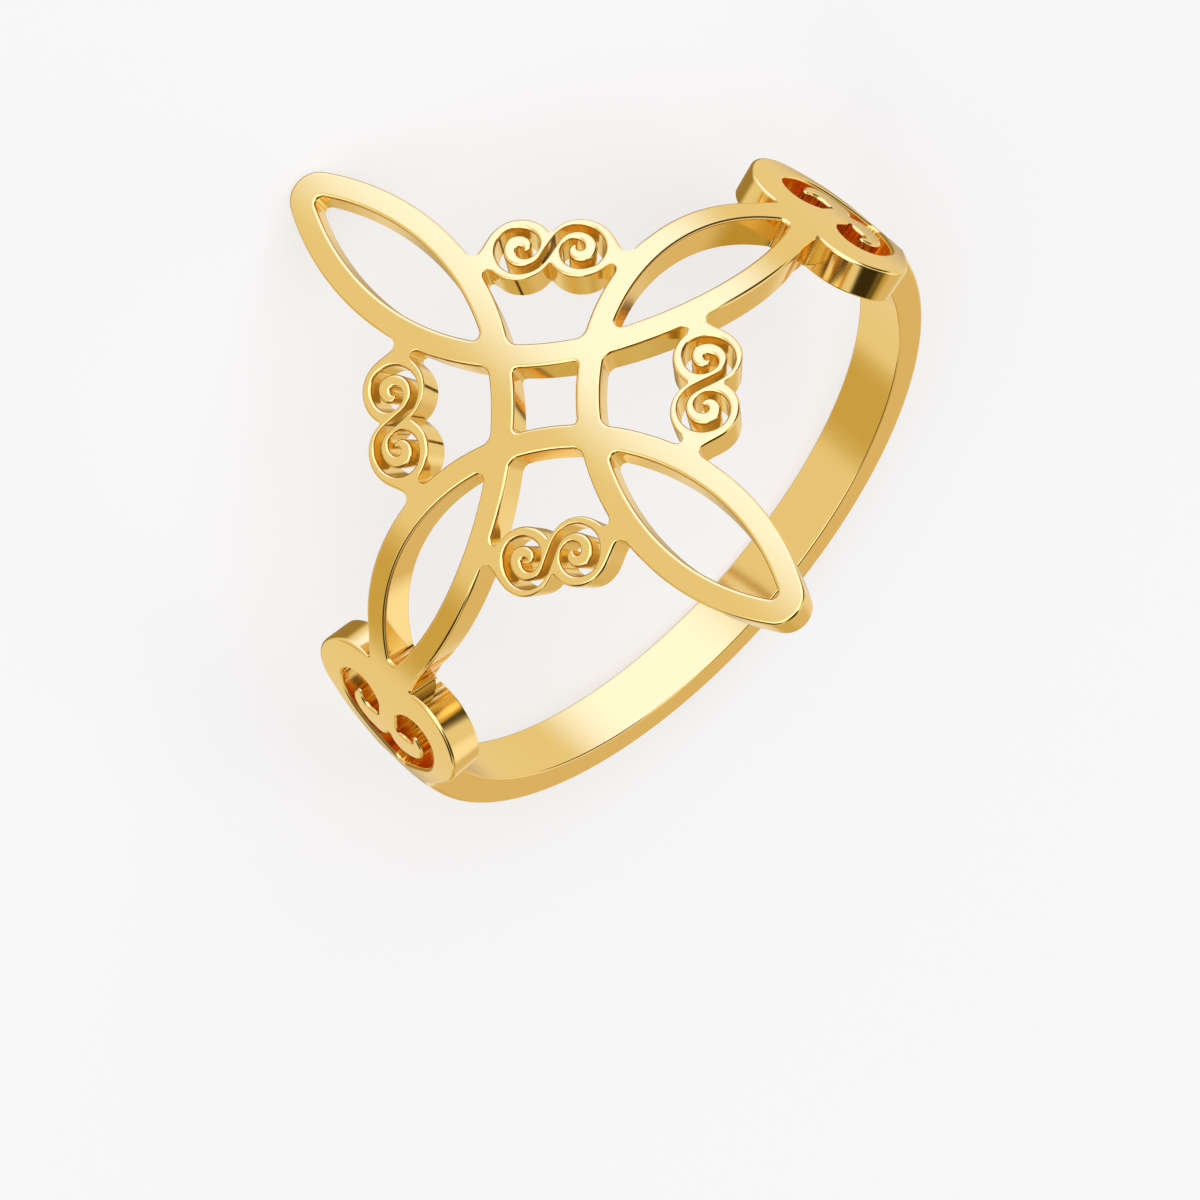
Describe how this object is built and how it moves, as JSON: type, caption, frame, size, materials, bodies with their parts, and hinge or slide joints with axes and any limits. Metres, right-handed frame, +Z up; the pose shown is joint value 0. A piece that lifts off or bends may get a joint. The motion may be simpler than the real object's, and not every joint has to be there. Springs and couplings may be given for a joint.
{
  "type": "cutout ring",
  "caption": "Pierced finger ring: four crossed circle bands form a knot with petals and scroll panels, heart-shaped shoulders and a plain shank.",
  "frame": {"origin": "middle of the bounding box at ground level, the ring lying on its side", "axes": "+Z up, +X across the ring, -Y towards the pierced ornament; the finger's line leans 25.8 degrees from +Z towards +Y"},
  "size_m": [0.0188, 0.0214, 0.0173],
  "materials": {
    "gold": "polished gold plate"
  },
  "bodies": {
    "root": {"ring": "gold"}
  },
  "joints": []
}
